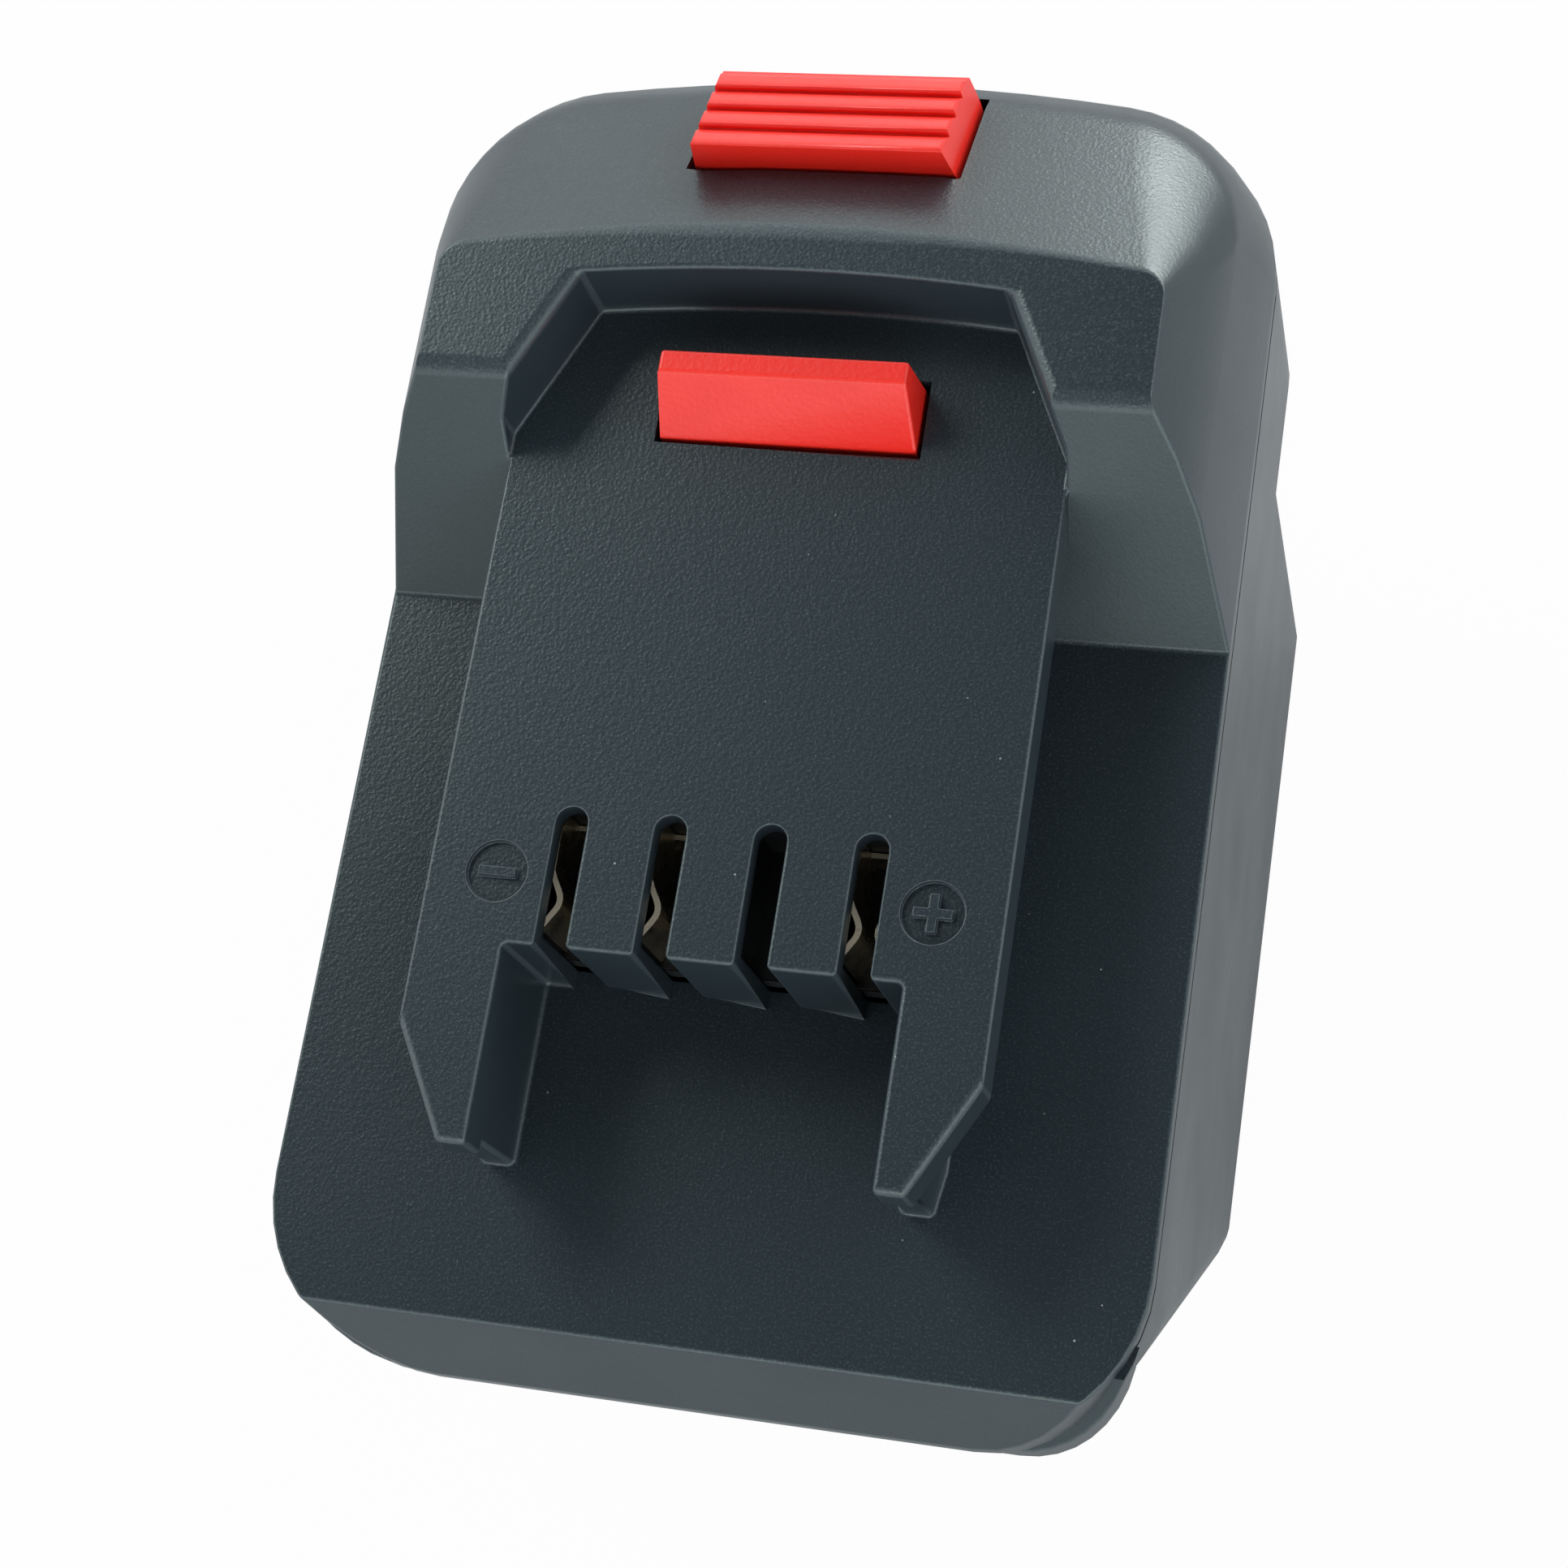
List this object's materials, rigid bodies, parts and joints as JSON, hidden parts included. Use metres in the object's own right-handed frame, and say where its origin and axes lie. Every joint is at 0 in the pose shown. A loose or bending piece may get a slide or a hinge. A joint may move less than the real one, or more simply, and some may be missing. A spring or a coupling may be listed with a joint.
{
  "type": "tool battery adapter",
  "caption": "Deep moulded battery adapter for a cordless tool: T-rail block with slotted contacts and a sprung red release latch on top, stem battery socket underneath.",
  "frame": {"origin": "centre of the bounding box at the rear face, on which the adapter lies", "axes": "+X across the width, +Y from the foot end to the head end with the button, +Z out of the tool side"},
  "size_m": [0.076, 0.1196, 0.0835],
  "materials": {
    "housing_plastic": "charcoal glass-filled nylon with a fine spark-eroded texture",
    "red_plastic": "red moulded plastic, satin",
    "inner_plastic": "black moulded plastic, satin",
    "contact_metal": "nickel plated copper alloy sheet",
    "spring_steel": "drawn spring wire",
    "screw_steel": "zinc plated steel",
    "black_lead": "black insulated stranded wire",
    "yellow_lead": "yellow insulated stranded wire",
    "red_lead": "red insulated stranded wire"
  },
  "bodies": {
    "housing": {"front_shell": "housing_plastic", "rear_shell": "housing_plastic", "latch_spring_left": "spring_steel", "latch_spring_right": "spring_steel", "contact_carrier": "inner_plastic", "negative_clip": "contact_metal", "signal_clip": "contact_metal", "positive_clip": "contact_metal", "socket_sleeve": "inner_plastic", "terminal_block": "inner_plastic", "negative_blade": "contact_metal", "signal_blade": "contact_metal", "positive_blade": "contact_metal", "negative_lead": "black_lead", "signal_lead": "yellow_lead", "positive_lead": "red_lead", "housing_screws": "screw_steel", "carrier_screws": "screw_steel", "sleeve_screws": "screw_steel", "terminal_screws": "screw_steel"},
    "latch": {"release_latch": "red_plastic"}
  },
  "joints": [
    {"name": "latch_press", "type": "slide", "parent": "housing", "child": "latch", "axis": [0, 0, -1], "range_m": [0, 0.005], "stiffness_N_per_m": 600, "springref_m": -0.005, "deforming": ["latch_spring_left", "latch_spring_right"]}
  ]
}
